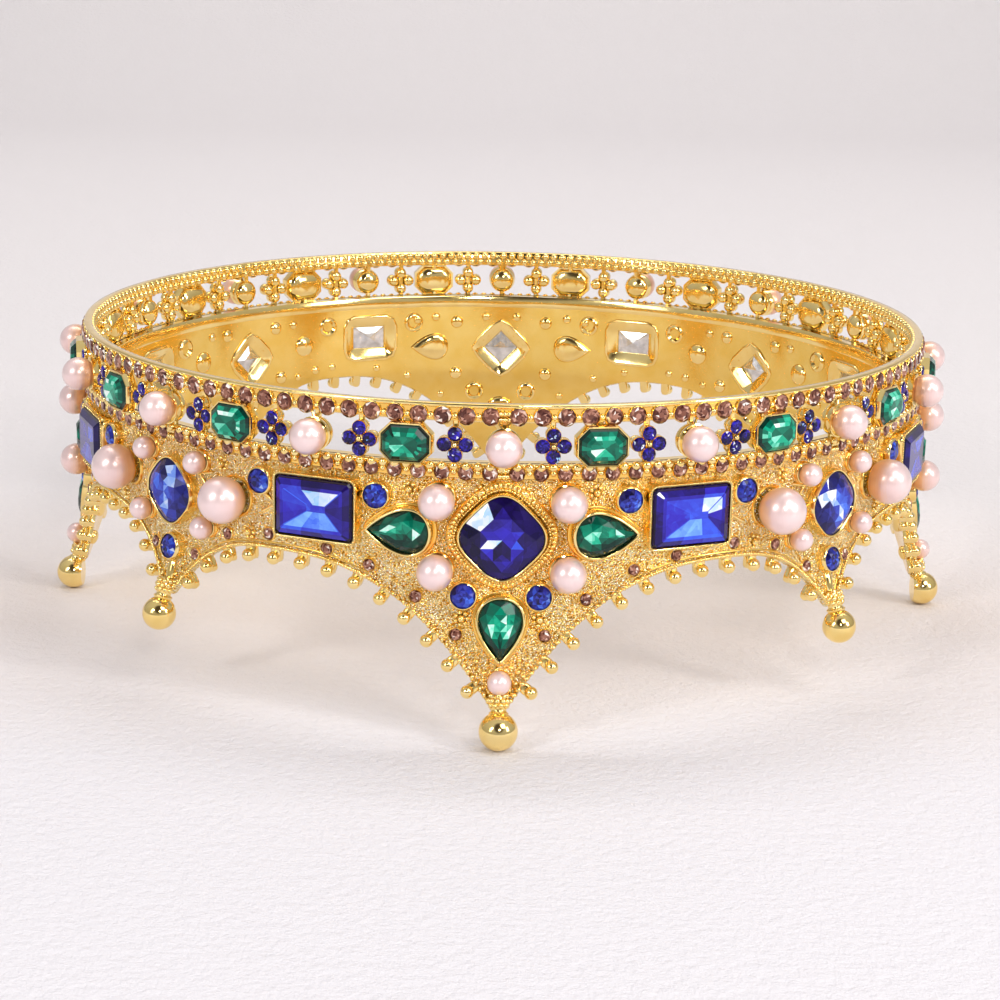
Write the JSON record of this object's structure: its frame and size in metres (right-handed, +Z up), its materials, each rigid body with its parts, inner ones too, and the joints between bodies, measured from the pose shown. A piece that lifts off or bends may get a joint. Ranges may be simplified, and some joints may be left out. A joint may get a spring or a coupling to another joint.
{
  "type": "bridal crown",
  "caption": "Round gilt bridal crown with scalloped points, blue and green faceted stones, pearls and an openwork gallery between two stone-set rims.",
  "frame": {"origin": "on the axis of the ring, at the height of the surface that the four long points stand on", "axes": "+Z up the axis of the ring, from the points to the plain rim; -Y towards the front long point, +X to its right"},
  "size_m": [0.176, 0.176, 0.057],
  "materials": {
    "gold": "bright gilding, granulated on the plate, with fused pearls and small stones",
    "sapphire": "foil-backed royal blue glass, faceted",
    "emerald": "foil-backed green glass, faceted",
    "pearl": "pale pink imitation pearl, soft sheen"
  },
  "bodies": {
    "root": {"band": "gold", "gallery": "gold", "cushion_a_1": "sapphire", "cushion_a_2": "sapphire", "cushion_a_3": "sapphire", "cushion_a_4": "sapphire", "cushion_b_1": "sapphire", "cushion_b_2": "sapphire", "cushion_b_3": "sapphire", "cushion_b_4": "sapphire", "rectangle_1": "sapphire", "rectangle_2": "sapphire", "rectangle_3": "sapphire", "rectangle_4": "sapphire", "rectangle_5": "sapphire", "rectangle_6": "sapphire", "rectangle_7": "sapphire", "rectangle_8": "sapphire", "pear_side_1": "emerald", "pear_side_2": "emerald", "pear_side_3": "emerald", "pear_side_4": "emerald", "pear_side_5": "emerald", "pear_side_6": "emerald", "pear_side_7": "emerald", "pear_side_8": "emerald", "pear_low_1": "emerald", "pear_low_2": "emerald", "pear_low_3": "emerald", "pear_low_4": "emerald", "large_pearl_1": "pearl", "large_pearl_2": "pearl", "large_pearl_3": "pearl", "large_pearl_4": "pearl", "large_pearl_5": "pearl", "large_pearl_6": "pearl", "large_pearl_7": "pearl", "large_pearl_8": "pearl"}
  },
  "joints": []
}
